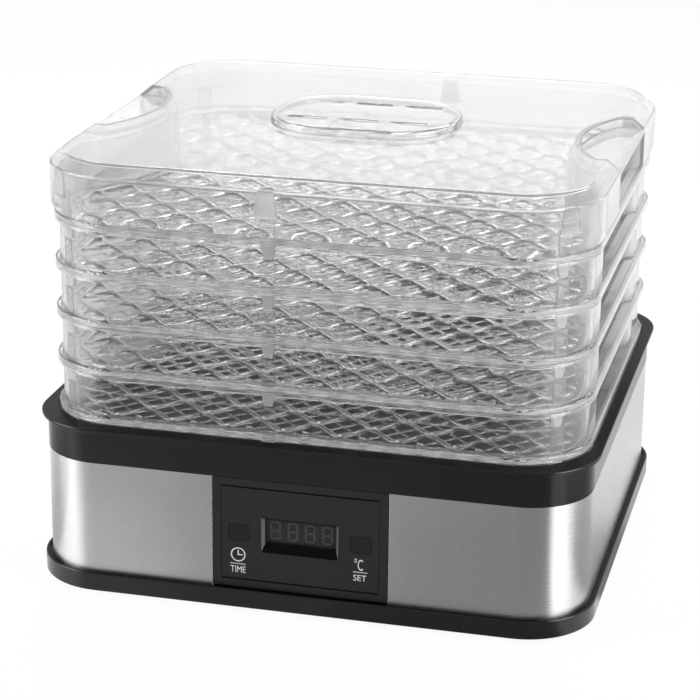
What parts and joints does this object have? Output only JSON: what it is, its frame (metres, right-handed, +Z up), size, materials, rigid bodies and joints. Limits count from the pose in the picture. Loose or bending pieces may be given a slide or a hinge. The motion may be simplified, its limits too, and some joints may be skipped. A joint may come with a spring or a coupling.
{
  "type": "food dehydrator",
  "caption": "Countertop food dehydrator: a squarish base with fan, heater and display panel under a stack of clear lattice trays and a clear vented lid.",
  "frame": {"origin": "middle of the footprint, on the surface that the feet stand on", "axes": "+X to the right seen from the front, +Y to the back, +Z up"},
  "size_m": [0.34, 0.32, 0.2691],
  "materials": {
    "black_plastic": "satin moulded black",
    "panel_plastic": "satin dark grey panel",
    "clear_plastic": "clear moulded plastic",
    "brushed_steel": "fine horizontal brush lines",
    "smoked_lens": "smoked clear plastic",
    "display_black": "black display block",
    "unlit_bars": "unlit display bars",
    "button_plastic": "black button",
    "soft_rubber": "black rubber",
    "sheet_steel": "zinc coated sheet",
    "screw_steel": "plated screws",
    "motor_steel": "motor can",
    "fan_plastic": "moulded impeller",
    "heater_steel": "heat stained tube",
    "ceramic": "ceramic holder",
    "board_green": "solder masked board",
    "switch_black": "switch and sensor body",
    "relay_blue": "relay case",
    "capacitor_yellow": "film capacitor",
    "terminal_green": "terminal block"
  },
  "bodies": {
    "base": {"base_housing": "black_plastic", "steel_band": "brushed_steel", "top_rim": "black_plastic", "outlet_grille": "black_plastic", "control_fascia": "panel_plastic", "display_lens": "smoked_lens", "display_module": "display_black", "display_digits": "unlit_bars", "button_switches": "switch_black", "control_board": "board_green", "control_board_screws": "screw_steel", "power_board": "board_green", "power_relay": "relay_blue", "filter_capacitor": "capacitor_yellow", "terminal_block": "terminal_green", "power_board_screws": "screw_steel", "motor_bracket": "sheet_steel", "bracket_screws": "screw_steel", "fan_motor": "motor_steel", "motor_screws": "screw_steel", "air_duct": "sheet_steel", "duct_screws": "screw_steel", "heater_ring": "heater_steel", "heater_holders": "ceramic", "thermal_cutout": "switch_black", "air_sensor": "switch_black", "cord_bush": "soft_rubber", "rubber_feet": "soft_rubber", "housing_screws": "screw_steel"},
    "fan": {"fan_impeller": "fan_plastic", "motor_shaft": "screw_steel"},
    "time_button": {"time_button": "button_plastic"},
    "set_button": {"set_button": "button_plastic"},
    "lid": {"lid": "clear_plastic"},
    "tray_1": {"tray_1_frame": "clear_plastic", "tray_1_net": "clear_plastic"},
    "tray_2": {"tray_2_frame": "clear_plastic", "tray_2_net": "clear_plastic"},
    "tray_3": {"tray_3_frame": "clear_plastic", "tray_3_net": "clear_plastic"},
    "tray_4": {"tray_4_frame": "clear_plastic", "tray_4_net": "clear_plastic"},
    "tray_5": {"tray_5_frame": "clear_plastic", "tray_5_net": "clear_plastic"}
  },
  "joints": [
    {"name": "fan_spin", "type": "hinge", "parent": "base", "child": "fan", "pos_m": [0, 0, 0.05], "axis": [0, 0, 1], "continuous": true},
    {"name": "time_button_press", "type": "slide", "parent": "base", "child": "time_button", "axis": [0, 1, 0], "range_m": [0, 0.0008], "stiffness_N_per_m": 600},
    {"name": "set_button_press", "type": "slide", "parent": "base", "child": "set_button", "axis": [0, 1, 0], "range_m": [0, 0.0008], "stiffness_N_per_m": 600},
    {"name": "tray_5_lift", "type": "slide", "parent": "base", "child": "tray_5", "axis": [0, 0, 1], "range_m": [0, 0.045]},
    {"name": "tray_4_lift", "type": "slide", "parent": "tray_5", "child": "tray_4", "axis": [0, 0, 1], "range_m": [0, 0.045]},
    {"name": "tray_3_lift", "type": "slide", "parent": "tray_4", "child": "tray_3", "axis": [0, 0, 1], "range_m": [0, 0.045]},
    {"name": "tray_2_lift", "type": "slide", "parent": "tray_3", "child": "tray_2", "axis": [0, 0, 1], "range_m": [0, 0.045]},
    {"name": "tray_1_lift", "type": "slide", "parent": "tray_2", "child": "tray_1", "axis": [0, 0, 1], "range_m": [0, 0.045]},
    {"name": "lid_lift", "type": "slide", "parent": "tray_1", "child": "lid", "axis": [0, 0, 1], "range_m": [0, 0.06]}
  ]
}
